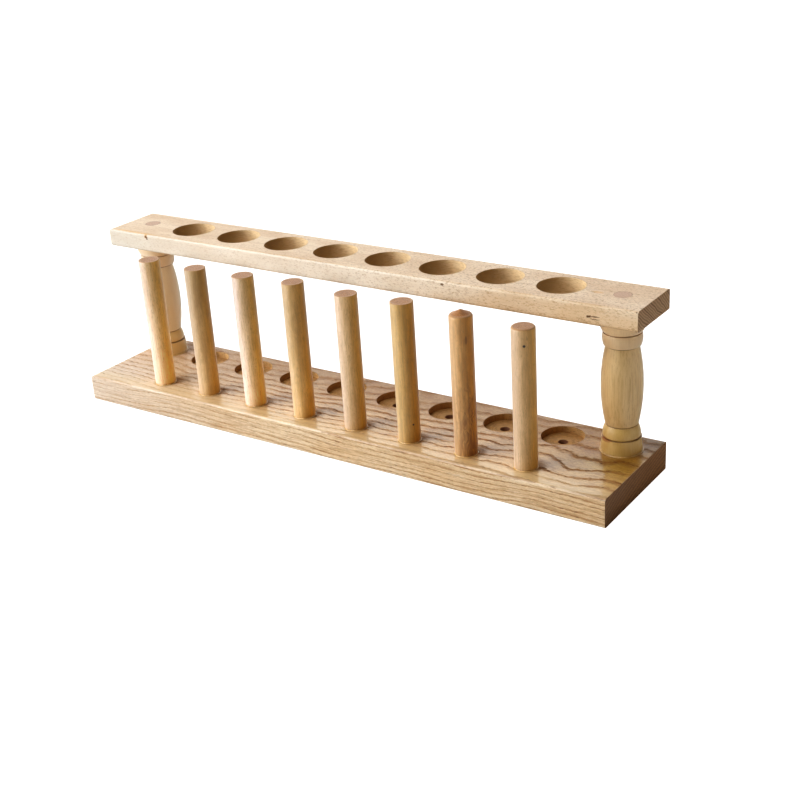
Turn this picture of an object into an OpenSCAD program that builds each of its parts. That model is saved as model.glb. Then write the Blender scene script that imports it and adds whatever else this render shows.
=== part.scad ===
// Wooden test tube rack. A drilled top rail stands on two turned posts over a
// base board with a shallow seat under each hole, and a row of upright drying
// pegs stands in front. The origin is at the centre of the base's underside.
// X runs along the rack, the pegs are on the -Y side and +Z is up.

/* [Rack] */
// Length of the base board
rack_l = 290; // [280:1:340]
// Height from the table to the top of the rail
rack_h = 83; // [72:0.5:120]
// Number of tube places, and of drying pegs
tube_count = 8; // [2:1:8]
// Distance from one tube place to the next
pitch = 29.4; // [25:0.1:30.4]
// Radius of the softened long edges of both boards
edge_r = 1.1; // [0.4:0.1:3]
// Radius of the top and bottom edges of the left ends, which are sanded
sanded_end_r = 2.7; // [0.2:0.1:3]
// Radius of the upright corners of the left ends
corner_r = 1; // [0.2:0.1:3]
// Radius of the edges round the right ends, which are only sawn
sawn_end_r = 0.3; // [0.2:0.1:3]

/* [Base board] */
// Width of the base board, front to back
base_w = 60; // [56:0.5:70]
// Thickness of the base board
base_t = 13.3; // [12:0.1:20]
// Diameter of the seat that holds the bottom of a tube
seat_d = 19.5; // [12:0.5:21]
// Depth of the seat
seat_depth = 3.1; // [1:0.1:5]
// Diameter of the mark that the drill's point leaves in the seat
pilot_d = 4.4; // [2:0.1:6]
// Depth of that mark below the seat
pilot_depth = 2.2; // [0.5:0.1:3]

/* [Top rail] */
// Width of the rail, front to back
rail_w = 31; // [28:0.5:34]
// Thickness of the rail
rail_t = 9; // [7:0.1:12]
// How far the rail reaches past the base at the left end
rail_reach = 1.8; // [0:0.1:3]
// Diameter of the tube holes
hole_d = 21; // [14:0.5:23]

/* [Posts] */
// Distance from the end of the boards to the axis of a post
post_inset = 14.1; // [13:0.1:15]
// Largest diameter of the swelling in the middle
belly_d = 17.9; // [15:0.1:20]
// Diameter of the necks above and below the swelling
neck_d = 14.2; // [13.4:0.1:14.8]
// Diameter of the foot where it stands on the base
foot_d = 18.1; // [16.5:0.1:19]
// Diameter of the collar under the rail
collar_d = 19.6; // [17.4:0.1:20]

/* [Drying pegs] */
// Diameter of a peg
peg_d = 10.2; // [10:0.1:14]
// Height of a peg above the base board
peg_h = 64.2; // [30:0.1:90]
// How unevenly the pegs are sawn off, or 0 for pegs of one height
peg_uneven = 1; // [0:0.1:2]
// Distance from the middle of the base to the row of pegs
peg_row = 18.4; // [15:0.1:20]
// Peg whose top is left as a low cone, or 0 for none
crowned_peg = 7; // [0:1:8]
// Peg whose top edge is rounded over, or 0 for none
rounded_peg = 8; // [0:1:8]

/* [Joinery] */
// Diameter of the tenons at both ends of a post and at the foot of a peg
tenon_d = 7.8; // [6:0.1:9.8]
// Depth of the blind sockets in the base
socket_depth = 9; // [5:0.1:10]
// Glue gap around a tenon, on the radius
glue_gap = 0.05; // [0.02:0.01:0.15]

/* [Hidden] */
$fn = 96;
peg_names = [for (n = [1 : tube_count]) str("drying_peg_", n)];

tube_row = base_w / 4;
rail_y = (base_w - rail_w) / 2;
rail_z = rack_h - rail_t;
post_x = rack_l / 2 - post_inset;

// Heights and radii of a post's turned bands, from the foot up. The swelling
// takes the height that is left, and fine_h is the line cut above and below it.
foot_h = 6.6;
foot_taper = 0.5;
groove_h = 0.5;
groove_r = 7.4;
shoulder_h = 5.2;
shoulder_r = 8.15;
shoulder_widest_z = 0.5;
shoulder_arc_r = 9.5;
fine_h = 0.4;
fine_r = 6.6;
bead_h = 5.5;
bead_r = 8.48;
bead_widest_z = 3.2;
bead_arc_r = 9;
collar_h = 6.3;
collar_widest_z = 4.8;
collar_arc_r = 8.4;
tenon_lead = 1;
tenon_bevel = 0.5;
bands_h = foot_h + shoulder_h + bead_h + collar_h + 2 * groove_h + 2 * fine_h;
belly_h = rail_z - base_t - bands_h;
belly_drop = (belly_d - neck_d) / 2;
belly_arc_r = (belly_h * belly_h / 4 + belly_drop * belly_drop) / (2 * belly_drop);

// How much longer than peg_h each peg is left by the saw, from the left
saw_extra = [0, -0.3, 0.2, 1.2, 0, 0.8, 1.6, -0.9];

// Softening of a peg's top edge, and the cone on the crowned peg
peg_ease = 0.3;
rounded_ease = 1;
crown_ease = 1.2;
crown_h = 1.8;
crown_tip_r = 0.4;

// X of the tube place or peg with this number, counted from the left
function place_x(n) = (n - (tube_count + 1) / 2) * pitch;

// Sum of the heights of the first count sections
function stack_h(sections, count) =
    count == 0 ? 0 : sections[count - 1][0] + stack_h(sections, count - 1);

// Half outline of one turned section, standing on the X axis. A section of
// three numbers, [height, lower radius, upper radius], has a straight side. One
// of four, [height, radius, widest_z, arc_r], has a side that is an arc of
// radius arc_r, and reaches the given radius at the height widest_z.
module section_outline(section) {
    h = section[0];
    r = section[1];
    if (len(section) == 3) {
        polygon([[0, 0], [r, 0], [section[2], h], [0, h]]);
    } else {
        arc_r = section[3];
        if (arc_r < r) square([r - arc_r, h]);
        intersection() {
            square([r, h]);
            translate([r - arc_r, section[2]]) circle(arc_r, $fn = arc_r > 20 ? 720 : $fn);
        }
    }
}

// A turned piece: its sections stacked along Z from the bottom up
module turned(sections) {
    rotate_extrude()
        for (i = [0 : len(sections) - 1])
            translate([0, stack_h(sections, i)]) section_outline(sections[i]);
}

// Rectangle centred on the origin with one corner radius on its -X side and
// another on its +X side
module rounded_rect(a, b, left_r, right_r) {
    translate([(left_r - right_r) / 2, 0]) square([a - left_r - right_r, b], center = true);
    for (end = [[-1, left_r], [1, right_r]]) {
        r = end[1];
        translate([end[0] * (a / 2 - r / 2), 0]) square([r, b - 2 * r], center = true);
        for (y = [-1, 1])
            translate([end[0] * (a / 2 - r), y * (b / 2 - r)]) circle(r);
    }
}

// A board lying on Z = 0 with all its edges softened
module board(l, w, t) {
    translate([0, 0, t / 2])
        intersection() {
            linear_extrude(t, center = true) rounded_rect(l, w, corner_r, sawn_end_r);
            rotate([90, 0, 0])
                linear_extrude(w, center = true) rounded_rect(l, t, sanded_end_r, sawn_end_r);
            rotate([90, 0, 90])
                linear_extrude(l, center = true) rounded_rect(w, t, edge_r, edge_r);
        }
}

// A flat-bottomed seat with the mark of the drill's point, below Z = 0
module tube_seat() {
    translate([0, 0, -seat_depth]) cylinder(d = seat_d, h = seat_depth + 1);
    translate([0, 0, -seat_depth - pilot_depth])
        cylinder(d1 = pilot_d / 2, d2 = pilot_d, h = pilot_depth + 0.01);
}

// A blind socket for a tenon, below Z = 0
module socket() {
    translate([0, 0, -socket_depth]) cylinder(r = tenon_d / 2 + glue_gap, h = socket_depth + 1);
}

module base_board() {
    color("#d3ae80")
        difference() {
            board(rack_l, base_w, base_t);
            for (n = [1 : tube_count]) {
                translate([place_x(n), tube_row, base_t]) tube_seat();
                translate([place_x(n), -peg_row, base_t]) socket();
            }
            for (side = [-1, 1])
                translate([side * post_x, tube_row, base_t]) socket();
        }
}

module top_rail() {
    color("#ecd7b4")
        difference() {
            translate([-rail_reach / 2, rail_y, rail_z])
                board(rack_l + rail_reach, rail_w, rail_t);
            for (n = [1 : tube_count])
                translate([place_x(n), tube_row, rail_z - 1]) cylinder(d = hole_d, h = rail_t + 2);
            for (side = [-1, 1])
                translate([side * post_x, tube_row, rail_z - 1])
                    cylinder(r = tenon_d / 2 + glue_gap, h = rail_t + 2);
        }
}

// Sections of the tenon that stands in the base, with a bevelled lower end
function lower_tenon() = [
    [tenon_lead, tenon_d / 2 - tenon_bevel, tenon_d / 2],
    [socket_depth - tenon_lead, tenon_d / 2, tenon_d / 2]
];

// A post: its lower tenon is blind in the base, and the upper one goes through
// the rail and is cut flush with its top.
module post(side) {
    foot_r = foot_d / 2;
    bands = [
        [foot_h, foot_r, foot_r - foot_taper],
        [groove_h, groove_r, groove_r],
        [shoulder_h, shoulder_r, shoulder_widest_z, shoulder_arc_r],
        [fine_h, fine_r, fine_r],
        [belly_h, belly_d / 2, belly_h / 2, belly_arc_r],
        [fine_h, fine_r, fine_r],
        [bead_h, bead_r, bead_widest_z, bead_arc_r],
        [groove_h, groove_r, groove_r],
        [collar_h, collar_d / 2, collar_widest_z, collar_arc_r],
        [rail_t, tenon_d / 2, tenon_d / 2]
    ];
    translate([side * post_x, tube_row, base_t - socket_depth])
        turned(concat(lower_tenon(), bands));
}

module left_post() {
    color("#e4cd98") post(-1);
}

module right_post() {
    color("#e4cd98") post(1);
}

// A dowel glued into the base by its tenon. Its top edge is eased, and the
// crowned one comes to a point.
module drying_peg(n) {
    r = peg_d / 2;
    h = peg_h + peg_uneven * saw_extra[n - 1];
    crowned = n == crowned_peg;
    ease = crowned ? crown_ease : n == rounded_peg ? rounded_ease : peg_ease;
    crown = crowned ? [[crown_h, r - ease, crown_tip_r]] : [];
    straight_h = h - ease - (crowned ? crown_h : 0);
    shaft = [[straight_h, r, r], [ease, r, 0, ease]];
    color("#d0a265")
        translate([place_x(n), -peg_row, base_t - socket_depth])
            turned(concat(lower_tenon(), shaft, crown));
}

base_board();
top_rail();
left_post();
right_post();
for (n = [1 : tube_count])
    drying_peg(n);
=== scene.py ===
import math
from types import SimpleNamespace

import bmesh
import bpy
from mathutils import Matrix, Vector, noise


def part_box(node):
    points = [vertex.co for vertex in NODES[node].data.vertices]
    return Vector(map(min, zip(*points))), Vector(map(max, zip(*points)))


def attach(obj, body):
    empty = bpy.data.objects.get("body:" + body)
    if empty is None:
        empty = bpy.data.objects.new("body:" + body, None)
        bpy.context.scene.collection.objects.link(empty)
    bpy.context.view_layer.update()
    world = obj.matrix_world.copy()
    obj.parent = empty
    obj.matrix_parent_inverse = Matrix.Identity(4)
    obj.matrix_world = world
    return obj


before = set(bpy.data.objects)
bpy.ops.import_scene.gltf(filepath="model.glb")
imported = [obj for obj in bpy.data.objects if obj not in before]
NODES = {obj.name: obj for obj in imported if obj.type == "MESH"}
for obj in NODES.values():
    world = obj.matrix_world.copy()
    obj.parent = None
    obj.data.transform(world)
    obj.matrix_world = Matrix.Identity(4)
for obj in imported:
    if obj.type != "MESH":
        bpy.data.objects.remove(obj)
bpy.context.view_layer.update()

MM = 0.001
TUBES = 8


def middle(node):
    """Centre of a node's box in the row frame, in millimetres."""
    low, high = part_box(node)
    return (Vector(low) + Vector(high)) / 2 / MM


# Places and radii in millimetres, from the frame. The collar is a post's widest
# part, and the foot is a little narrower.
BASE_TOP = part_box("base_board")[1].z / MM
BASE_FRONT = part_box("base_board")[0].y / MM
RAIL_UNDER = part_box("top_rail")[0].z / MM
RAIL_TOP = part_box("top_rail")[1].z / MM
RAIL_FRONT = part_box("top_rail")[0].y / MM
RACK_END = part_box("base_board")[1].x / MM
TUBE_ROW = middle("left_post").y
POST_X = middle("right_post").x
COLLAR_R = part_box("left_post")[1].y / MM - TUBE_ROW
FOOT_R = COLLAR_R * 0.925
PEG_ROW = middle("drying_peg_1").y
PEG_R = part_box("drying_peg_1")[1].y / MM - PEG_ROW
PITCH = middle("drying_peg_2").x - middle("drying_peg_1").x
# Radii of the seats, the marks of the drill's point in them, the tube holes and
# the tenons
SEAT_R = 9.75
PILOT_R = 2.2
HOLE_R = 10.5
TENON_R = 3.9


def peg_x(number):
    return middle(f"drying_peg_{number}").x


def gray(value):
    return (value, value, value)


# ---------------------------------------------------------------- node helpers
class Tree:
    """Builds one node tree. Its methods take output sockets or plain values, and
    give the output sockets of the nodes that they add."""

    def __init__(self, name=None, tree=None):
        if tree is None:
            self.material = bpy.data.materials.new(name)
            self.material.use_nodes = True
            tree = self.material.node_tree
        self.nt = tree
        self.nt.nodes.clear()

    def node(self, kind, inputs=(), out=0, **settings):
        n = self.nt.nodes.new("ShaderNode" + kind)
        for key, value in settings.items():
            setattr(n, key, value)
        for key, value in dict(inputs).items():
            self.put(n.inputs[key], value)
        return n.outputs[out]

    def output(self, shader, kind="Material"):
        n = self.nt.nodes.new("ShaderNodeOutput" + kind)
        self.nt.links.new(shader, n.inputs[0])

    def put(self, socket, value):
        if isinstance(value, bpy.types.NodeSocket):
            self.nt.links.new(value, socket)
        elif socket.type == "RGBA":
            socket.default_value = (*value[:3], 1.0)
        else:
            socket.default_value = value

    # Numbers
    def math(self, operation, a, b=0.0, c=0.0):
        return self.node("Math", {0: a, 1: b, 2: c}, operation=operation)

    def add(self, a, b):
        return self.math("ADD", a, b)

    def sub(self, a, b):
        return self.math("SUBTRACT", a, b)

    def mul(self, a, b, *more):
        product = self.math("MULTIPLY", a, b)
        return self.mul(product, *more) if more else product

    def div(self, a, b):
        return self.math("DIVIDE", a, b)

    def mad(self, a, b, c):
        """a times b, plus c."""
        return self.math("MULTIPLY_ADD", a, b, c)

    def size(self, value):
        return self.math("ABSOLUTE", value)

    def most(self, a, b):
        return self.math("MAXIMUM", a, b)

    def least(self, a, b):
        return self.math("MINIMUM", a, b)

    def invert(self, value):
        return self.sub(1.0, value)

    def step(self, value, low, high):
        """0 below low, 1 above high, and smooth between. low may be above high."""
        return self.node(
            "MapRange",
            {"Value": value, "From Min": low, "From Max": high, "To Min": 0.0, "To Max": 1.0},
            interpolation_type="SMOOTHSTEP",
        )

    def span(self, value, low, high, to_low, to_high):
        """to_low up to low, to_high from high on, and straight between."""
        return self.node(
            "MapRange",
            {
                "Value": value, "From Min": low, "From Max": high,
                "To Min": to_low, "To Max": to_high,
            },
        )

    def fade(self, factor, a, b):
        """Number a, going to number b by the factor."""
        return self.span(factor, 0.0, 1.0, a, b)

    # Vectors
    def scale(self, vector, by):
        """A vector times another vector, part by part."""
        return self.node("VectorMath", {0: vector, 1: by}, operation="MULTIPLY")

    def shift(self, vector, by):
        return self.node("VectorMath", {0: vector, 1: by}, operation="ADD")

    def length(self, vector):
        return self.node("VectorMath", {0: vector}, "Value", operation="LENGTH")

    def split(self, vector):
        n = self.nt.nodes.new("ShaderNodeSeparateXYZ")
        self.put(n.inputs[0], vector)
        return n.outputs[0], n.outputs[1], n.outputs[2]

    def join(self, x, y, z):
        return self.node("CombineXYZ", {0: x, 1: y, 2: z})

    # Patterns
    def noise(self, vector, detail=2.0, rough=0.5):
        return self.node(
            "TexNoise",
            {"Vector": vector, "Scale": 1.0, "Detail": detail, "Roughness": rough},
            noise_dimensions="3D",
        )

    def cells(self, vector):
        """Distance to the nearest of some scattered points."""
        return self.node("TexVoronoi", {"Vector": vector, "Scale": 1.0}, out="Distance")

    def ring_parts(self, ring):
        """How far a point is through its ring, and the ring's own random number."""
        number = self.math("FLOOR", ring)
        chance = self.node("TexWhiteNoise", {"W": number}, noise_dimensions="1D")
        return self.sub(ring, number), chance

    def spot(self, place, centre, radii):
        """1 well inside an ellipsoid, falling to 0 at its surface."""
        away = self.scale(self.shift(place, [-c for c in centre]), [1 / r for r in radii])
        return self.step(self.length(away), 1.0, 0.5)

    # Colours
    def blend(self, factor, a, b):
        """Colour a, going to colour b by the factor."""
        return self.node("Mix", {0: factor, 6: a, 7: b}, out=2, data_type="RGBA")

    def layers(self, colour, *layers):
        """Colours laid over a colour in turn, each by its mask times its strength."""
        for mask, strength, over in layers:
            colour = self.blend(self.mul(mask, strength), colour, over)
        return colour

    def tint(self, colour, by, factor):
        """A colour, going to that colour times another by the factor."""
        return self.blend(factor, colour, self.scale(colour, by))

    def brighten(self, colour, by):
        return self.scale(colour, self.join(by, by, by))

    # The shader
    def bump(self, height, depth, strength):
        """Bump with the given depth in millimetres."""
        return self.node("Bump", {"Height": height, "Distance": depth * MM, "Strength": strength})

    def finish(
        self, colour, roughness, normal, coat, coat_roughness, coat_normal=None, sheen=0.0
    ):
        """Ends the tree in a shader, and gives the material."""
        inputs = {
            "Base Color": colour, "Roughness": roughness, "Normal": normal, "Coat Weight": coat,
            "Coat Roughness": coat_roughness, "Sheen Weight": sheen, "Sheen Roughness": 0.5,
        }
        if coat_normal is not None:
            inputs["Coat Normal"] = coat_normal
        self.output(self.node("BsdfPrincipled", inputs))
        return self.material


class Surface(Tree):
    """A material's tree, with its place in the row frame in millimetres and the
    direction it faces. Its grain starts from another place if offset is given."""

    def __init__(self, name, offset=None):
        super().__init__(name)
        self.p = self.scale(self.node("TexCoord", out="Object"), gray(1 / MM))
        self.x, self.y, self.z = self.split(self.p)
        self.nx, self.ny, self.nz = self.split(self.node("TexCoord", out="Normal"))
        self.grain_p = self.shift(self.p, offset) if offset else self.p

    def texture(self, per_mm, detail=2.0, rough=0.5):
        """Noise from 0 to 1, with its fineness along each axis."""
        return self.noise(self.scale(self.grain_p, per_mm), detail, rough)

    def swing(self, per_mm, by, detail=2.0, rough=0.5):
        """Noise round 0, as wide as by."""
        return self.mul(self.sub(self.texture(per_mm, detail, rough), 0.5), by)

    def scatter(self, per_mm):
        """Distance to the nearest of some points scattered through the grain."""
        return self.cells(self.scale(self.grain_p, per_mm))

    def from_axis(self, x, centre_x, centre_y):
        """Distance from an upright axis."""
        return self.length(self.join(self.sub(x, centre_x), self.sub(self.y, centre_y), 0.0))

    def from_row(self, row, shift_x=0.0, shift_y=0.0):
        """Distance from the nearest axis of a row along X, moved by the shift."""
        places = self.mad(self.sub(self.x, shift_x), 1 / PITCH, 0.5)
        whole = self.most(self.math("ROUND", places), 1.0 - TUBES / 2)
        whole = self.least(whole, TUBES / 2)
        along = self.mul(self.sub(places, whole), PITCH)
        across = self.sub(self.sub(self.y, shift_y), row)
        return self.length(self.join(along, across, 0.0))

    def toward_front(self):
        """1 on what faces the front, 0 on the rest."""
        return self.step(self.ny, -0.4, -0.8)

    def long_edge(self, low, high):
        """The softened edges along a board."""
        return self.step(self.size(self.mul(self.ny, self.nz)), low, high)

    def board_end(self):
        """The sawn and sanded ends of a board, with their end grain."""
        facing = self.step(self.size(self.nx), 0.55, 0.9)
        return self.mul(facing, self.step(self.size(self.x), RACK_END - 3.0, RACK_END - 1.0))


# ---------------------------------------------------------------- colours
BASE_PALE = (0.88, 0.69, 0.46)
BASE_TAN = (0.79, 0.555, 0.315)
BASE_LINE = (0.36, 0.15, 0.04)
BASE_LINE_SOFT = (0.44, 0.215, 0.078)
BASE_STREAK = (0.47, 0.27, 0.115)
BASE_FIBRE = (0.36, 0.19, 0.075)
BASE_PORE = (0.15, 0.07, 0.026)
# dry, pale wood; also a painted highlight on the softened edges
BASE_DRY_AND_HIGHLIGHT = (0.78, 0.63, 0.47)
# painted reflection of the pegs on the top near its front edge
BASE_PAINTED_REFLECTION = (0.74, 0.56, 0.33)
# painted shadow of the pegs on the board's top
BASE_PAINTED_SHADOW = (0.26, 0.12, 0.035)
BASE_END = (0.4, 0.22, 0.095)
BASE_END_DEEP = (0.24, 0.115, 0.045)
BASE_END_WARM = (0.42, 0.2, 0.075)
BASE_END_PORE = gray(0.012)
SEAT_FLOOR = (0.76, 0.47, 0.2)
# Seat walls: lit, and in painted shade; the shaded colour also darkens each seat's rim
SEAT_WALL_LIT = (0.68, 0.45, 0.2)
SEAT_SHADE_AND_BURN = (0.4, 0.22, 0.08)
SEAT_BURR = (0.36, 0.2, 0.08)
SEAT_PILOT = (0.2, 0.075, 0.03)

RAIL_PALE = (0.85, 0.7, 0.52)
RAIL_TAN = (0.72, 0.53, 0.34)
RAIL_LINE = (0.46, 0.28, 0.14)
RAIL_PORE = (0.2, 0.1, 0.04)
# painted highlight on the rail's front
RAIL_PAINTED_HIGHLIGHT = (0.79, 0.7, 0.585)
RAIL_WARM = (0.72, 0.46, 0.22)
RAIL_AMBER = (0.68, 0.38, 0.13)
RAIL_KNOT = (0.16, 0.07, 0.02)
RAIL_END = (0.62, 0.4, 0.22)
RAIL_END_LINE = (0.3, 0.17, 0.085)
# Hole walls: lit, and in painted shade
HOLE_WALL_LIT = (0.88, 0.655, 0.39)
HOLE_WALL_SHADED = (0.36, 0.22, 0.075)
HOLE_SCORE = (0.52, 0.33, 0.13)

POST_STRAW = (0.97, 0.7, 0.36)
POST_PALE = (0.98, 0.83, 0.6)
POST_TAN = (0.86, 0.59, 0.27)
POST_FIBRE = (0.58, 0.34, 0.1)
POST_FOOT = (0.8, 0.53, 0.15)
POST_COLLAR = (0.88, 0.65, 0.42)
# dirt and painted shade in the posts' grooves and where the feet meet the board
POST_DIRT_AND_SHADE = (0.34, 0.155, 0.04)
POST_DRIP = (0.50, 0.18, 0.04)
TENON_END = (0.58, 0.34, 0.19)
TENON_END_DEEP = (0.47, 0.26, 0.135)
TENON_RIM = (0.38, 0.2, 0.1)

# A peg's two main colours, paler and deeper
PEG_COLOURS = {
    1: ((0.969, 0.697, 0.401), (0.833, 0.525, 0.235)),
    2: ((0.671, 0.433, 0.177), (0.523, 0.3, 0.1)),
    3: ((0.92, 0.652, 0.375), (0.75, 0.486, 0.218)),
    4: ((0.773, 0.486, 0.18), (0.593, 0.335, 0.085)),
    5: ((0.823, 0.556, 0.264), (0.657, 0.394, 0.154)),
    6: ((0.737, 0.446, 0.129), (0.563, 0.316, 0.068)),
    7: ((0.741, 0.416, 0.128), (0.529, 0.26, 0.062)),
    8: ((0.756, 0.482, 0.207), (0.61, 0.366, 0.136)),
}
PEG_FIBRE = (0.4, 0.235, 0.08)
PEG_SPECK = (0.035, 0.018, 0.01)
PEG_KNOT = (0.2, 0.08, 0.02)
PEG_VEIN = (0.32, 0.12, 0.02)
PEG_SAWN = (0.5, 0.225, 0.065)
PEG_SAWN_DEEP = (0.34, 0.14, 0.035)
PEG_TORN = (0.66, 0.44, 0.24)

VARNISH_POOL = (0.46, 0.26, 0.08)
VARNISH_CLEAR = (0.8, 0.55, 0.24)
VARNISH_AMBER = (0.66, 0.4, 0.14)

# What a colour is multiplied by: under the base's varnish, under the thick
# varnish in its far right corner, and toward its dry left end
VARNISH_TINT = (0.82, 0.7, 0.45)
CORNER_TINT = (0.74, 0.68, 0.3)
DRY_TINT = (0.9, 0.92, 1.0)
# On the rail's top, and on its front toward its left end
RAIL_TOP_TINT = (0.97, 0.9, 0.82)
RAIL_LEFT_END_TINT = (0.83, 0.84, 0.84)
# Painted light and shade on the pegs: the tint on the side toward the light, and the tint on the
# side away from it
PEG_LIT_SIDE_TINT = (0.98, 1.06, 1.54)
PEG_SHADE_SIDE_TINT = (1.08, 0.97, 0.42)


# ---------------------------------------------------------------- base board
# Height of one ring in the front face, and how many the top has to a millimetre
# at its left and at its right
RING_HEIGHT = 2.35
RINGS_LEFT = 0.27
RINGS_RIGHT = 0.15
# How fast the rings widen toward the back
RING_BOW = 0.0035


def base_rings(t):
    """Ring number of the plank. The rings lie aslant, so they cut the front in
    narrow straight lines and the top in wide wavy ones, wider still to the right."""
    inward = t.sub(t.y, BASE_FRONT)
    bowed = t.sub(inward, t.mul(inward, inward, RING_BOW))
    rings_per_mm = t.span(t.x, -60.0, 125.0, RINGS_LEFT, RINGS_RIGHT)
    ring = t.sub(t.div(t.sub(t.z, BASE_TOP), RING_HEIGHT), t.mul(bowed, rings_per_mm))
    wavy = t.span(t.y, BASE_FRONT, BASE_FRONT + 12.0, 0.35, 1.0)
    rightward = t.span(t.x, -20.0, 130.0, 0.5, 1.25)
    ring = t.add(ring, t.swing((0.016, 0.02, 0.03), 3.0, detail=1.0))
    ring = t.add(ring, t.mul(t.swing((0.045, 0.018, 0.06), 2.0), wavy, rightward))
    ring = t.add(ring, t.mul(t.swing((0.11, 0.07, 0.1), 0.5, detail=1.0), wavy))
    return t.add(ring, t.swing((0.4, 1.1, 1.1), 0.6, detail=3.0, rough=0.7))


def base_grain(t):
    """The plank's ring number, its kinds of grain and the parts of its surface. All
    but the ring number go from 0 to 1."""
    g = SimpleNamespace()
    g.ring = base_rings(t)
    g.along, chance = t.ring_parts(g.ring)
    # early wood: a dark line that starts sharply and fades out
    fade_end = t.fade(chance, 0.38, 0.7)
    g.early = t.mul(t.step(g.along, 0.0, 0.08), t.step(g.along, fade_end, 0.12))
    g.grain = t.texture((0.09, 1.7, 1.7), detail=3.0, rough=0.6)
    g.fibre = t.texture((0.3, 4.2, 4.2), detail=2.0, rough=0.65)
    g.pore = t.step(t.scatter((0.32, 2.2, 2.2)), 0.38, 0.16)
    g.open_pore = t.mul(g.pore, t.add(0.3, g.early), t.span(t.ny, -0.8, -0.4, 0.55, 1.0))
    g.stipple = t.step(t.texture((0.9, 1.9, 1.9), detail=3.0, rough=0.7), 0.48, 0.66)

    g.backward = t.step(t.y, -14.0, 24.0)
    g.leftmost = t.step(t.x, -10.0, -RACK_END)
    g.on_top = t.step(t.nz, 0.8, 0.95)
    g.edge = t.long_edge(0.12, 0.42)

    # the lines are broken, and weaker toward the left, on the front and at the back
    broken = t.texture((0.06, 0.4, 0.4), detail=3.0, rough=0.6)
    line = t.mul(g.early, t.fade(chance, 0.7, 1.0), t.span(broken, 0.35, 0.65, 0.45, 1.15))
    line = t.mul(line, t.span(t.x, -130.0, 10.0, 0.62, 1.0), t.span(t.x, 10.0, 100.0, 1.0, 1.2))
    g.line = t.mul(line, t.fade(t.toward_front(), 1.0, 0.85), t.fade(g.backward, 1.0, 0.5))
    return g


def base_plank(t, g):
    """Colour of the long faces under their varnish."""
    patch = t.texture((0.02, 0.05, 0.06), detail=3.0, rough=0.6)
    within = t.join(t.mul(t.x, 0.07), t.mul(g.ring, 2.7), t.mul(t.y, 0.05))
    inner = t.noise(within, detail=3.0, rough=0.65)
    light = t.layers(
        t.blend(t.step(patch, 0.3, 0.7), BASE_PALE, BASE_TAN),
        (t.step(inner, 0.46, 0.68), 0.6, BASE_STREAK),
        (t.step(inner, 0.44, 0.28), 0.5, BASE_DRY_AND_HIGHLIGHT),
        (g.leftmost, 0.5, BASE_DRY_AND_HIGHLIGHT),
    )
    light = t.tint(light, DRY_TINT, g.leftmost)
    dark = t.blend(t.step(g.grain, 0.3, 0.7), BASE_LINE, BASE_LINE_SOFT)
    colour = t.layers(
        t.blend(g.line, light, dark),
        (t.step(g.grain, 0.45, 0.7), 0.42, BASE_STREAK),
        (t.step(g.fibre, 0.5, 0.72), 0.42, BASE_FIBRE),
        (g.open_pore, 0.8, BASE_PORE),
        # mottled and browner toward the back
        (g.stipple, t.fade(g.backward, 0.2, 0.6), BASE_FIBRE),
        (g.backward, 0.42, BASE_LINE_SOFT),
    )
    # the varnish lies on the top and is yellow there, thin at the left and thick in the far
    # right corner. A paler strip near the front edge is a painted reflection of the lit pegs.
    colour = t.tint(colour, VARNISH_TINT, t.mul(g.on_top, t.fade(g.leftmost, 0.9, 0.0)))
    painted_reflection_strip = t.mul(g.on_top, t.step(t.y, -17.0, -27.0))
    colour = t.layers(colour, (painted_reflection_strip, 0.5, BASE_PAINTED_REFLECTION))
    corner = t.mul(g.on_top, t.step(t.x, 85.0, 135.0), t.step(t.y, -24.0, 0.0))
    colour = t.tint(colour, CORNER_TINT, corner)
    # softened long edges, rubbed paler, and partly a painted soft highlight
    return t.layers(colour, (g.edge, t.span(g.grain, 0.35, 0.65, 0.1, 0.55), BASE_DRY_AND_HIGHLIGHT))


def base_feet(t, g, colour):
    """Adds the varnish that gathered round the pegs and posts, and a painted shadow
    behind each peg and to its right. Gives the colour and the painted shadow."""
    round_peg = t.step(t.from_row(PEG_ROW), PEG_R + 1.9, PEG_R)
    post_away = t.from_axis(t.size(t.x), POST_X, TUBE_ROW)
    pool = t.most(round_peg, t.step(post_away, FOOT_R + 2.4, FOOT_R))
    # a painted shadow of each peg, on the top behind it and to its right
    beside = t.from_row(PEG_ROW, shift_x=2.1, shift_y=1.6)
    painted_peg_shadow = t.mul(t.step(beside, PEG_R + 2.6, PEG_R - 1.5), t.step(g.stipple, -0.8, 0.6))
    painted_peg_shadow = t.mul(painted_peg_shadow, g.on_top)
    colour = t.layers(
        colour, (t.mul(pool, g.on_top), 0.55, VARNISH_POOL), (painted_peg_shadow, 0.62, BASE_PAINTED_SHADOW)
    )
    return colour, painted_peg_shadow


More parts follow.
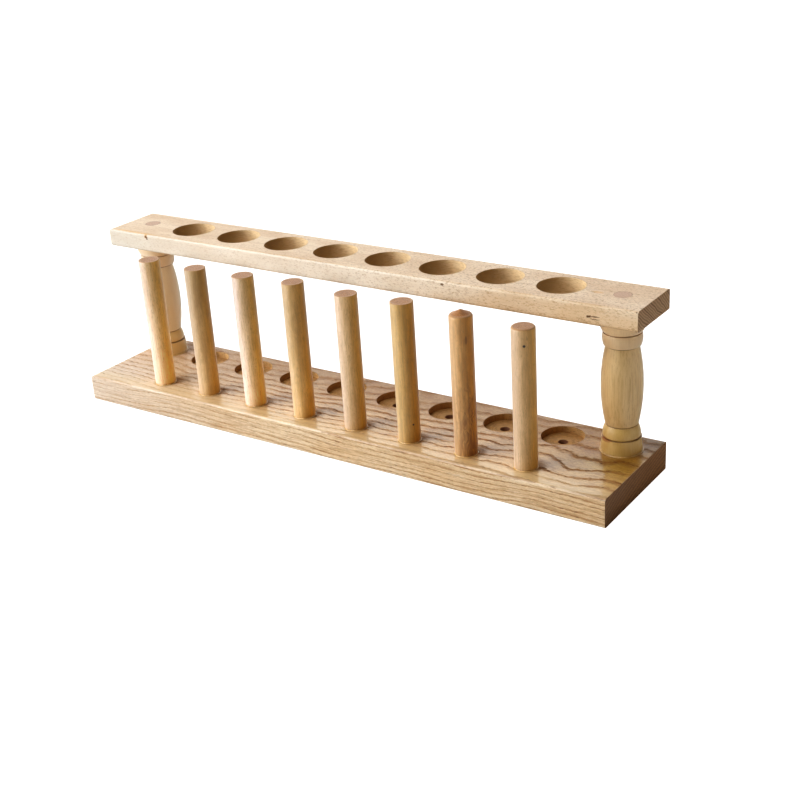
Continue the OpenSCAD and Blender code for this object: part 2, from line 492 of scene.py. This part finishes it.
def base_seats(t, g, colour):
    """Adds the drilled seats, with bare wood inside. Gives the colour and where
    the seats are."""
    away = t.from_row(TUBE_ROW)
    # below the top, and off the underside
    sunk = t.mul(t.step(t.z, BASE_TOP - 0.02, BASE_TOP - 0.2), t.step(t.z, 1.0, 3.0))
    seat = t.mul(sunk, t.step(away, SEAT_R + 0.35, SEAT_R + 0.2))
    # painted light and shade: walls that face the light are pale, those that face away dark
    wall_toward_light = t.span(t.add(t.nx, t.ny), -1.2, 1.2, 1.0, 0.0)
    wall = t.blend(wall_toward_light, SEAT_SHADE_AND_BURN, SEAT_WALL_LIT)
    floor = t.mul(seat, t.step(t.nz, 0.5, 0.8))
    swirl = t.join(t.mul(away, 1.5), t.mul(t.x, 0.25), t.mul(t.y, 0.25))
    inside = t.layers(
        t.blend(floor, wall, SEAT_FLOOR),
        (t.step(t.noise(swirl, detail=3.0, rough=0.7), 0.42, 0.62), 0.45, SEAT_BURR),
        (g.pore, 0.5, BASE_PORE),
        (t.step(away, PILOT_R + 0.5, PILOT_R - 0.3), 1.0, SEAT_PILOT),
    )
    rim = t.mul(g.on_top, t.step(away, SEAT_R + 0.7, SEAT_R + 0.1))
    return t.layers(colour, (seat, 0.88, inside), (rim, 0.45, SEAT_SHADE_AND_BURN)), seat


def base_ends(t, g, colour):
    """Adds the end grain, which drinks the varnish and goes dark. Gives the colour
    and where the ends are."""
    end = t.board_end()
    end_grain = t.layers(
        BASE_END,
        (t.step(g.along, 0.1, 0.9), 0.8, BASE_END_DEEP),
        (t.step(g.fibre, 0.45, 0.7), 0.5, BASE_END_WARM),
        (g.pore, 0.45, BASE_END_PORE),
    )
    paler_far = t.span(t.y, -30.0, 30.0, 0.85, 1.3)
    return t.blend(end, colour, t.brighten(end_grain, paler_far)), end


def base_wood():
    """Varnished ash: bands of open pores, a satin film, dark thirsty end grain."""
    t = Surface("varnished_ash")
    g = base_grain(t)
    colour, painted_peg_shadow = base_feet(t, g, base_plank(t, g))
    colour, seat = base_seats(t, g, colour)
    colour, end = base_ends(t, g, colour)

    # open grain, the back and bare wood don't shine as the film does, and the
    # film gets thinner to the left
    bare = t.most(t.mul(end, 0.72), t.mul(seat, 0.85))
    sunk = t.least(t.add(t.mul(g.line, 1.4), g.open_pore), 1.0)
    sunk = t.most(sunk, t.mul(g.backward, t.mad(g.stipple, 0.35, 0.35)))
    coat = t.mul(t.invert(bare), t.invert(sunk), t.fade(g.edge, 1.0, 0.2), t.invert(painted_peg_shadow))
    coat = t.mul(coat, t.span(t.x, -40.0, -110.0, 1.0, 0.25), t.span(t.y, -14.0, 20.0, 1.0, 0.6))
    rough = t.add(t.fade(bare, 0.42, 0.7), t.mul(t.most(g.open_pore, g.early), 0.25))
    rough = t.add(rough, t.mul(painted_peg_shadow, 0.35))

    relief = t.sub(t.mul(g.fibre, 0.3), t.add(t.mul(g.open_pore, 0.8), t.mul(g.early, 0.35)))
    film = t.mad(relief, 0.35, t.texture((0.05, 0.12, 0.12)))
    film = t.add(film, t.mul(t.texture((1.1, 1.6, 1.6)), 0.2))
    film = t.add(film, t.mul(g.edge, g.grain, 1.6))
    wood_bump = t.bump(relief, depth=0.14, strength=0.7)
    film_bump = t.bump(film, depth=0.10, strength=0.6)
    return t.finish(
        colour, rough, wood_bump, coat, coat_roughness=0.11, coat_normal=film_bump
    )


# ---------------------------------------------------------------- top rail
# The flaws that this plank has. For each, its middle: along the rail, behind the
# front face and above the top face; then its radii, colour and strength.
RAIL_MARKS = (
    # stain along the front edge at the left, and one beside the right tenon
    ((-128.0, 1.2, 0.0), (17.0, 1.5, 1.1), RAIL_AMBER, 0.42),
    ((120.2, 14.4, 0.0), (3.4, 1.7, 1.0), RAIL_AMBER, 0.6),
    ((118.4, 13.9, 0.0), (1.3, 0.8, 1.0), RAIL_KNOT, 0.35),
    # knot on the front edge, and a speck
    ((-121.0, 0.4, -1.2), (1.5, 2.0, 1.5), RAIL_AMBER, 0.8),
    ((-121.0, 0.2, -1.4), (0.9, 1.4, 1.0), RAIL_KNOT, 0.95),
    ((-120.2, 0.0, -2.2), (0.8, 1.0, 0.8), RAIL_KNOT, 0.9),
    ((53.8, 0.0, -1.5), (0.9, 0.9, 0.8), RAIL_KNOT, 0.9),
    # worm slot near the right end: a dark head, and two thin lines to its right
    ((123.3, 0.0, -5.2), (1.2, 1.0, 0.7), RAIL_KNOT, 1.0),
    ((126.0, 0.0, -5.0), (2.9, 1.0, 0.36), RAIL_KNOT, 0.75),
    ((126.0, 0.0, -6.1), (2.7, 1.0, 0.34), RAIL_KNOT, 0.7),
    # speck in the upper right corner of the front
    ((144.2, 0.0, -0.4), (0.6, 0.8, 0.5), RAIL_KNOT, 0.8),
)


def rail_grain(t):
    """The rail's grain, each kind from 0 to 1."""
    g = SimpleNamespace()
    slant = t.add(t.mul(t.y, 0.62), t.mul(t.z, 0.78))
    ring = t.add(t.div(slant, 1.15), t.swing((0.02, 0.08, 0.08), 3.0))
    along, g.chance = t.ring_parts(ring)
    g.line = t.mul(t.step(along, 0.0, 0.3), t.step(along, 0.95, 0.4))
    g.pore = t.step(t.scatter((0.42, 1.9, 1.9)), 0.3, 0.12)
    g.speck = t.step(t.texture((0.7, 1.4, 1.4), detail=3.0, rough=0.7), 0.52, 0.66)
    g.fibre = t.texture((0.12, 2.2, 2.2), detail=3.0, rough=0.6)
    return g


def rail_plank(t, g):
    """Colour of the long faces."""
    mottle = t.texture((0.03, 0.09, 0.09), detail=3.0, rough=0.6)
    colour = t.layers(
        t.blend(t.step(mottle, 0.3, 0.7), RAIL_PALE, RAIL_TAN),
        (t.mul(g.line, g.chance), 0.2, RAIL_LINE),
        (t.step(g.fibre, 0.42, 0.75), 0.22, RAIL_LINE),
    )
    # the top is darker than the front. The front has a painted highlight, whiter toward
    # its left and none at its right end, and is darker toward its left end
    on_top = t.step(t.nz, 0.5, 0.9)
    on_front = t.toward_front()
    colour = t.tint(colour, RAIL_TOP_TINT, on_top)
    painted_front_highlight = t.mul(on_front, t.step(t.x, 110.0, -20.0))
    colour = t.layers(colour, (painted_front_highlight, 0.6, RAIL_PAINTED_HIGHLIGHT))
    colour = t.tint(colour, RAIL_LEFT_END_TINT, t.mul(on_front, t.step(t.x, -60.0, -RACK_END)))
    # specks and pores show more to the right
    rightward = t.step(t.x, -90.0, 110.0)
    specked = t.mul(t.fade(rightward, 0.24, 0.6), t.fade(on_top, 1.0, 1.7))
    # the front is warmer toward its lower right
    warm = t.span(t.z, RAIL_TOP - 2.0, RAIL_UNDER, 0.3, 1.0)
    warm = t.mul(on_front, t.step(t.x, 30.0, 130.0), warm)
    low_band = t.mul(t.step(t.z, RAIL_UNDER + 5.0, RAIL_UNDER + 1.0), t.step(g.speck, -0.3, 0.7))
    return t.layers(
        colour,
        (g.speck, specked, RAIL_LINE),
        (g.pore, t.fade(rightward, 0.2, 0.45), RAIL_PORE),
        (warm, 0.66, RAIL_WARM),
        (t.mul(warm, low_band), 0.75, RAIL_LINE),
    )


def rail_marks(t, colour):
    """Adds the flaws, with edges that wander a little."""
    warp = t.swing(gray(0.9), 1.0)
    bent = t.shift(t.p, t.join(t.mul(warp, 1.6), 0.0, t.mul(warp, 0.9)))
    for (along, behind, above), radii, stain, strength in RAIL_MARKS:
        spot = t.spot(bent, (along, RAIL_FRONT + behind, RAIL_TOP + above), radii)
        colour = t.layers(colour, (spot, strength, stain))
    return colour


def rail_holes(t, colour):
    """Adds the bare walls of the tube holes, scored by the drill. Gives the colour
    and where the walls are."""
    away = t.from_row(TUBE_ROW)
    upright = t.step(t.size(t.nz), 0.6, 0.3)
    wall = t.mul(upright, t.step(away, HOLE_R + 0.3, HOLE_R + 0.15))
    chatter = t.step(t.texture((0.5, 0.5, 2.4), detail=2.0, rough=0.6), 0.4, 0.7)
    # painted light and shade: walls that face the light are pale, those that face away dark
    wall_toward_light = t.step(t.add(t.nx, t.ny), 1.25, -1.25)
    bare = t.blend(wall_toward_light, HOLE_WALL_SHADED, HOLE_WALL_LIT)
    bare = t.layers(bare, (chatter, 0.45, HOLE_SCORE))
    rim = t.mul(t.invert(upright), t.step(away, HOLE_R + 0.75, HOLE_R + 0.1))
    return t.layers(colour, (wall, 0.9, bare), (rim, 0.3, HOLE_SCORE)), wall


def rail_ends(t, g, colour):
    """Adds the end grain. Gives the colour and where the ends are."""
    end = t.board_end()
    dots = t.step(t.scatter((0.4, 1.5, 1.5)), 0.25, 0.12)
    end_grain = t.layers(
        RAIL_END, (g.line, t.fade(g.chance, 0.5, 1.0), RAIL_END_LINE), (dots, 0.7, RAIL_PORE)
    )
    return t.blend(end, colour, end_grain), end


def rail_wood():
    """Pale rubberwood: short fine pores, hardly any rings on its long faces and
    plain ones in the end."""
    t = Surface("pale_rubberwood")
    g = rail_grain(t)
    colour = rail_marks(t, rail_plank(t, g))
    colour, wall = rail_holes(t, colour)
    colour, end = rail_ends(t, g, colour)
    bare = t.most(t.mul(end, 0.7), wall)
    coat = t.fade(t.long_edge(0.1, 0.4), 0.26, 0.0)
    coat = t.mul(t.invert(bare), coat, t.invert(t.mul(g.speck, 0.8)))
    relief = t.sub(t.mul(g.fibre, 0.3), t.add(t.mul(g.pore, 0.8), t.mul(g.speck, 0.4)))
    rough = t.fade(bare, 0.48, 0.7)
    wood_bump = t.bump(relief, depth=0.09, strength=0.6)
    return t.finish(colour, rough, wood_bump, coat, coat_roughness=0.3)


# ---------------------------------------------------------------- posts
POST_ROUGHNESS = 0.45
# Dirt and varnish in the grooves, darkened further as painted shade: height, half width, strength
POST_GROOVES = (
    (BASE_TOP + 6.85, 0.55, 0.5),
    (BASE_TOP + 12.5, 0.35, 0.45),
    (RAIL_UNDER - 12.5, 0.4, 0.75),
    (RAIL_UNDER - 6.55, 0.45, 0.35),
)
# A run of varnish on the right post's foot, at its front left
DRIP_PLACE = (POST_X - 4.5, TUBE_ROW - 7.0, BASE_TOP + 6.6)
DRIP_RADII = (4.5, 4.0, 1.3)


def post_side(t, fibre):
    """Colour of the turned wood and what has gathered on it."""
    mottle = t.texture((0.25, 0.25, 0.05))
    flecks = t.step(t.scatter((2.2, 2.2, 0.35)), 0.25, 0.1)
    colour = t.layers(
        t.blend(t.step(mottle, 0.32, 0.68), POST_STRAW, POST_TAN),
        (t.step(fibre, 0.44, 0.68), 0.36, POST_FIBRE),
        (flecks, 0.3, POST_FIBRE),
        # the left post is paler, the feet are yellower and the collars pinker
        (t.step(t.x, 0.0, -50.0), 0.75, POST_PALE),
        (t.step(t.z, BASE_TOP + 13.0, BASE_TOP + 11.5), 0.62, POST_FOOT),
        (t.step(t.z, RAIL_UNDER - 12.8, RAIL_UNDER - 12.0), 0.55, POST_COLLAR),
    )
    for height, half_width, strength in POST_GROOVES:
        cut = t.step(t.size(t.sub(t.z, height)), half_width, half_width * 0.45)
        colour = t.layers(colour, (cut, strength, POST_DIRT_AND_SHADE))
    return t.layers(
        colour,
        (t.spot(t.p, DRIP_PLACE, DRIP_RADII), 0.7, POST_DRIP),
        # dirt and painted shade where the foot meets the base
        (t.step(t.z, BASE_TOP + 0.8, BASE_TOP), 0.6, POST_DIRT_AND_SHADE),
    )


def post_tenon(t, colour):
    """Adds the tenon's end grain, flush with the top of the rail. Gives the colour
    and where the tenon is."""
    tenon = t.mul(t.step(t.z, RAIL_TOP - 0.5, RAIL_TOP - 0.1), t.step(t.nz, 0.6, 0.9))
    away = t.from_axis(t.size(t.x), POST_X, TUBE_ROW)
    grain = t.texture((1.0, 2.4, 1.0), detail=3.0, rough=0.65)
    end_grain = t.layers(
        TENON_END,
        (t.step(grain, 0.38, 0.62), 1.0, TENON_END_DEEP),
        (t.step(away, TENON_R - 0.45, TENON_R), 1.0, TENON_RIM),
    )
    return t.blend(tenon, colour, end_grain), tenon


def post_wood():
    """Straw-yellow turned wood with cut grooves, and yellower varnished feet."""
    t = Surface("turned_yellow_wood")
    fibre = t.texture((1.4, 1.4, 0.06), detail=3.0, rough=0.7)
    colour, tenon = post_tenon(t, post_side(t, fibre))
    turning = t.texture((0.05, 0.05, 3.2))
    relief = t.add(t.mul(turning, 0.5), t.mul(fibre, 0.3))
    coat = t.mul(t.invert(tenon), 0.6)
    wood_bump = t.bump(relief, depth=0.06, strength=0.5)
    return t.finish(
        colour, POST_ROUGHNESS, wood_bump, coat, coat_roughness=0.3, sheen=0.25
    )


# ---------------------------------------------------------------- pegs
# Pegs 1 to 4 get painted bounce light from the board, paler toward the foot, and peg 7 has a wavy
# dark figure
LAST_BOUNCE_LIT_PEG = 4
FIGURED_PEG = 7
# How far apart the grain of one peg and the next are, so that no two are alike
PEG_OFFSET = (31.0, 17.0, 11.0)
# Small knots in the figured peg: height, angle round its axis, half width, half
# length along the grain
PEG_FLAMES = ((30.5, -58, 1.3, 5.0), (21.5, -33, 1.1, 6.5), (36.5, -30, 1.0, 6.0))
# Specks and scratches: peg, height, angle round its axis, radii, strength, colour
PEG_SPOTS = (
    (6, 22.3, -32, gray(0.55), 0.9, PEG_SPECK),
    (7, 67.0, -37, (0.7, 0.7, 2.4), 0.5, PEG_KNOT),
    (8, 69.6, -58, gray(0.75), 0.97, PEG_SPECK),
    (8, 72.7, -44, (0.5, 0.5, 0.9), 0.3, PEG_KNOT),
)


def peg_point(number, height, angle):
    """A point on a peg's side, by its height and its angle round the axis."""
    turn = math.radians(angle)
    return (peg_x(number) + PEG_R * math.cos(turn), PEG_ROW + PEG_R * math.sin(turn), height)


def flame(t, centre, half_width, half_length):
    """A small knot that the dowel was cut through: a dark heart drawn out along
    the grain, with broken lines flowing round it."""
    wobble = t.noise(t.scale(t.p, (0.5, 0.5, 0.22)), detail=3.0, rough=0.6)
    radii = (half_width, half_width, half_length)
    away = t.scale(t.shift(t.p, [-c for c in centre]), [1 / r for r in radii])
    reach = t.mad(t.sub(wobble, 0.5), 1.3, t.length(away))
    heart = t.step(reach, 0.75, 0.1)
    waves = t.step(t.math("SINE", t.mul(reach, 11.0)), 0.2, 0.9)
    lines = t.mul(waves, t.step(reach, 1.5, 0.6), 0.55)
    return t.most(t.mul(heart, 0.8), lines)


def peg_figure(t, toward_light):
    """Wavy dark veins, low on the side away from the light."""
    waver = t.swing((0.2, 0.2, 0.11), 5.0)
    bent = t.shift(t.grain_p, t.join(waver, waver, 0.0))
    vein = t.step(t.noise(t.scale(bent, (1.0, 1.0, 0.07)), detail=3.0, rough=0.6), 0.46, 0.58)
    return t.mul(vein, t.step(t.z, 62.0, 30.0), t.fade(toward_light, 1.0, 0.3))


def peg_side(t, number, fibre):
    """Colour of a dowel's side: streaks along it, painted paler on the side toward the light and
    deeper on the side away from it.
    """
    streak = t.texture((0.6, 0.6, 0.045), detail=3.0, rough=0.7)
    blotch = t.texture((0.25, 0.25, 0.09), detail=4.0, rough=0.7)
    flecks = t.step(t.scatter((2.2, 2.2, 0.42)), 0.3, 0.12)
    pale, deep = PEG_COLOURS[number]
    colour = t.layers(
        pale,
        (t.step(streak, 0.32, 0.68), 0.8, deep),
        (t.step(blotch, 0.42, 0.66), 0.55, deep),
        (t.step(fibre, 0.45, 0.68), 0.42, PEG_FIBRE),
        (flecks, 0.45, PEG_FIBRE),
    )
    # painted light and shade: paler on the side toward the light, deeper on the side away
    toward_light = t.span(t.add(t.nx, t.ny), -1.25, 0.7, 1.0, 0.0)
    toward_light = t.most(toward_light, t.span(t.ny, 0.5, 1.0, 0.0, 0.5))
    colour = t.scale(colour, t.blend(toward_light, PEG_SHADE_SIDE_TINT, PEG_LIT_SIDE_TINT))
    # painted bounce light from the board: brighter toward the foot
    if number <= LAST_BOUNCE_LIT_PEG:
        colour = t.brighten(colour, t.span(t.z, 62.0, 20.0, 0.88, 1.25))
    if number == FIGURED_PEG:
        colour = t.layers(colour, (peg_figure(t, toward_light), 0.85, PEG_VEIN))
    return colour


def peg_marks(t, number, colour):
    """Adds the knots and specks that this peg has, and the varnish at its foot."""
    if number == FIGURED_PEG:
        for height, angle, *halves in PEG_FLAMES:
            knot = flame(t, peg_point(number, height, angle), *halves)
            colour = t.layers(colour, (knot, 0.8, PEG_VEIN))
    for peg, height, angle, radii, strength, stain in PEG_SPOTS:
        if peg == number:
            spot = t.spot(t.p, peg_point(number, height, angle), radii)
            colour = t.layers(colour, (spot, strength, stain))
    return t.layers(colour, (t.step(t.z, BASE_TOP + 1.1, BASE_TOP + 0.1), 0.4, VARNISH_POOL))


def peg_wood(number):
    """A dowel: straight streaks along it, and a sawn top with a torn pale rim."""
    t = Surface(f"dowel_{number}", [number * part for part in PEG_OFFSET])
    fibre = t.texture((2.4, 2.4, 0.2), detail=3.0, rough=0.7)
    colour = peg_marks(t, number, peg_side(t, number, fibre))

    peg_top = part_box(f"drying_peg_{number}")[1].z / MM
    top = t.mul(t.step(t.nz, 0.35, 0.7), t.step(t.z, peg_top - 3.5, peg_top - 3.0))
    saw = t.texture((0.9, 3.4, 1.0), detail=3.0, rough=0.7)
    away = t.from_axis(t.x, peg_x(number), PEG_ROW)
    torn = t.mul(t.step(away, PEG_R - 1.5, PEG_R - 0.4), t.step(saw, 0.3, 0.6))
    sawn = t.blend(t.step(saw, 0.35, 0.65), PEG_SAWN, PEG_SAWN_DEEP)
    colour = t.blend(top, colour, t.layers(sawn, (torn, 0.5, PEG_TORN)))
    relief = t.add(fibre, t.mul(top, saw, 3.0))
    coat = t.mul(t.invert(top), 0.85)
    rough = t.fade(top, 0.5, 0.8)
    wood_bump = t.bump(relief, depth=0.07, strength=0.6)
    return t.finish(colour, rough, wood_bump, coat, coat_roughness=0.5, sheen=0.5)


# ---------------------------------------------------------------- varnish fillets
FILLET_SIDES = 64
# How far a fillet reaches into the wood, how much its section wanders round the
# upright and how quickly
FILLET_BITE = 0.04
FILLET_WANDER = 0.45
FILLET_WANDER_RATE = 2.2
# Width and height of a fillet, for each kind of upright
PEG_FILLET = (0.4, 0.3)
POST_FILLET = (0.5, 0.4)
# How different the fillet of one peg is from the next
PEG_FILLET_SEED = 3.7


def varnish():
    """Clear amber varnish, set hard where it ran down."""
    t = Surface("set_varnish")
    cloud = t.texture(gray(0.7), detail=3.0, rough=0.6)
    colour = t.blend(t.step(cloud, 0.3, 0.7), VARNISH_CLEAR, VARNISH_AMBER)
    rough = t.span(cloud, 0.3, 0.7, 0.3, 0.45)
    ripples = t.bump(cloud, depth=0.1, strength=0.5)
    return t.finish(colour, rough, ripples, coat=1.0, coat_roughness=0.12)


def ring_mesh(name, centre, radius, width, height, seed):
    """A closed ring of varnish in the corner between an upright and the board. Its
    width and height wander round the upright."""
    bm = bmesh.new()
    sections = []
    for i in range(FILLET_SIDES):
        turn = 2 * math.pi * i / FILLET_SIDES
        outward = Vector((math.cos(turn), math.sin(turn), 0))
        wander = noise.noise(outward * FILLET_WANDER_RATE + Vector((seed, 0, 0)))
        swell = 1 + FILLET_WANDER * wander
        w, h = width * swell, height * swell
        # inner bottom, inner top, the hollow of the fillet, outer bottom
        outline = (
            (-FILLET_BITE, -FILLET_BITE), (-FILLET_BITE, h), (w * 0.28, h * 0.34), (w, -FILLET_BITE)
        )
        sections.append([
            bm.verts.new((centre + outward * (radius + out) + Vector((0, 0, up))) * MM)
            for out, up in outline
        ])
    for i, section in enumerate(sections):
        following = sections[(i + 1) % FILLET_SIDES]
        for k in range(len(section)):
            after = (k + 1) % len(section)
            bm.faces.new((section[k], section[after], following[after], following[k]))
    bmesh.ops.recalc_face_normals(bm, faces=bm.faces)
    mesh = bpy.data.meshes.new(name)
    bm.to_mesh(mesh)
    bm.free()
    mesh.shade_smooth()
    return mesh


def add_fillet(name, x, y, radius, section, seed, material):
    mesh = ring_mesh(name, Vector((x, y, BASE_TOP)), radius, *section, seed)
    mesh.materials.append(material)
    piece = bpy.data.objects.new(name, mesh)
    bpy.context.scene.collection.objects.link(piece)
    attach(piece, "root")


def add_fillets():
    material = varnish()
    for n in range(1, TUBES + 1):
        name = f"varnish_fillet_peg_{n}"
        seed = PEG_FILLET_SEED * n
        add_fillet(name, peg_x(n), PEG_ROW, PEG_R, PEG_FILLET, seed, material)
    for side, x in (("left", -POST_X), ("right", POST_X)):
        name = f"varnish_fillet_{side}_post"
        add_fillet(name, x, TUBE_ROW, FOOT_R, POST_FILLET, x, material)


# ---------------------------------------------------------------- finishes
def give(name, material):
    obj = NODES[name]
    obj.data.materials.clear()
    obj.data.materials.append(material)


def paint_all():
    give("base_board", base_wood())
    give("top_rail", rail_wood())
    post = post_wood()
    for side in ("left", "right"):
        give(f"{side}_post", post)
    for n in range(1, TUBES + 1):
        give(f"drying_peg_{n}", peg_wood(n))


# ---------------------------------------------------------------- stage
DAYLIGHT = (0.94, 1.0, 1.07)
LAMPLIGHT = (1.08, 0.97, 0.82)
# Softboxes, in metres, with each one's azimuth counted from +X toward +Y, its
# elevation, power in watts and colour
SOFTBOX_DISTANCE = 1.3
SOFTBOX_SIZE = 0.75
SOFTBOXES = {
    "low_key": (225.0, 15.0, 11.8, DAYLIGHT),
    "high_key": (225.0, 65.0, 7.5, DAYLIGHT),
    "fill": (8.0, 6.0, 2.4, LAMPLIGHT),
}
# Bright parts of the studio: direction, the cosines of the angles from it where
# the brightness starts and is full, radiance
BACKDROP = (Vector((-0.36, 0.86, 0.40)), 0.66, 0.94, 1.1)
SIDE_WALL = (Vector((-0.98, -0.15, 0.10)), 0.60, 0.90, 0.45)
STUDIO_WHITE = (1.0, 1.0, 1.01)
# How much plain white the camera sees in the floor, how pale its paper is, and
# in metres half its width and how far it lies under the rack
FLOOR_WHITE = 0.9
FLOOR_PAPER = 0.7
FLOOR_HALF = 4.0
FLOOR_DROP = 0.0002
# The camera's place and lens. Angles in degrees, azimuth counted from -Y toward
# +X; distances in metres; sensor and lens in millimetres
CAMERA_AZIMUTH = 35.345
CAMERA_ELEVATION = 23.902
CAMERA_ROLL = -3.718
CAMERA_DISTANCE = 0.66037
CAMERA_TARGET = Vector((0, 0.038198, 0.000666))
CAMERA_CLIP = (0.01, 20.0)
SENSOR = 36.0
LENS = 59.752


def add_floor():
    """A pale floor, which the camera sees almost white, as in a bright studio."""
    mesh = bpy.data.meshes.new("floor")
    bm = bmesh.new()
    bmesh.ops.create_grid(bm, x_segments=1, y_segments=1, size=FLOOR_HALF)
    bm.to_mesh(mesh)
    bm.free()
    floor = bpy.data.objects.new("floor", mesh)
    floor.location.z = -FLOOR_DROP
    bpy.context.scene.collection.objects.link(floor)
    t = Tree("pale_floor")
    paper = t.node("BsdfDiffuse", {"Color": gray(FLOOR_PAPER), "Roughness": 0.5})
    glow = t.node("Emission", {"Color": gray(1.0), "Strength": 1.0})
    seen = t.mul(t.node("LightPath", out="Is Camera Ray"), FLOOR_WHITE)
    t.output(t.node("MixShader", {0: seen, 1: paper, 2: glow}))
    mesh.materials.append(t.material)


def add_world():
    """Light from a white backdrop behind the rack and a pale wall at its left. The
    camera sees plain white."""
    world = bpy.data.worlds.new("studio")
    bpy.context.scene.world = world
    world.use_nodes = True
    t = Tree(tree=world.node_tree)
    direction = t.node("TexCoord", out="Generated")
    light = 0.0
    for centre, low, high, radiance in (BACKDROP, SIDE_WALL):
        pair = {0: direction, 1: centre.normalized()}
        toward = t.node("VectorMath", pair, "Value", operation="DOT_PRODUCT")
        light = t.mad(t.step(toward, low, high), radiance, light)
    seen = t.node("LightPath", out="Is Camera Ray")
    colour = t.blend(seen, STUDIO_WHITE, gray(1.0))
    t.output(t.node("Background", {"Color": colour, "Strength": t.most(light, seen)}), "World")


def add_softbox(name, azimuth, elevation, power, colour):
    """A square softbox, aimed at the rack."""
    light = bpy.data.lights.new(name, "AREA")
    light.shape = "SQUARE"
    light.size = SOFTBOX_SIZE
    light.energy = power
    light.color = colour
    turn, rise = math.radians(azimuth), math.radians(elevation)
    level = math.cos(rise)
    away = Vector((math.cos(turn) * level, math.sin(turn) * level, math.sin(rise)))
    obj = bpy.data.objects.new(name, light)
    obj.location = away * SOFTBOX_DISTANCE
    obj.rotation_euler = (-away).to_track_quat("-Z", "Y").to_euler()
    bpy.context.scene.collection.objects.link(obj)


def add_camera():
    angles = (CAMERA_AZIMUTH, CAMERA_ELEVATION, CAMERA_ROLL)
    azimuth, elevation, roll = map(math.radians, angles)
    back = Vector((
        math.sin(azimuth) * math.cos(elevation),
        -math.cos(azimuth) * math.cos(elevation),
        math.sin(elevation),
    ))
    level = (-back).cross(Vector((0, 0, 1))).normalized()
    upright = level.cross(-back)
    right = math.cos(roll) * level + math.sin(roll) * upright
    up = math.cos(roll) * upright - math.sin(roll) * level
    data = bpy.data.cameras.new("camera")
    data.sensor_width = SENSOR
    data.lens = LENS
    data.clip_start, data.clip_end = CAMERA_CLIP
    camera = bpy.data.objects.new("camera", data)
    turn = Matrix((right, up, back)).transposed().to_4x4()
    camera.matrix_world = Matrix.Translation(CAMERA_TARGET + back * CAMERA_DISTANCE) @ turn
    bpy.context.scene.collection.objects.link(camera)
    bpy.context.scene.camera = camera


paint_all()
add_fillets()
add_floor()
add_world()
for lamp, settings in SOFTBOXES.items():
    add_softbox(lamp, *settings)
add_camera()
bpy.context.scene.view_settings.view_transform = "Standard"
bpy.context.scene.view_settings.look = "High Contrast"
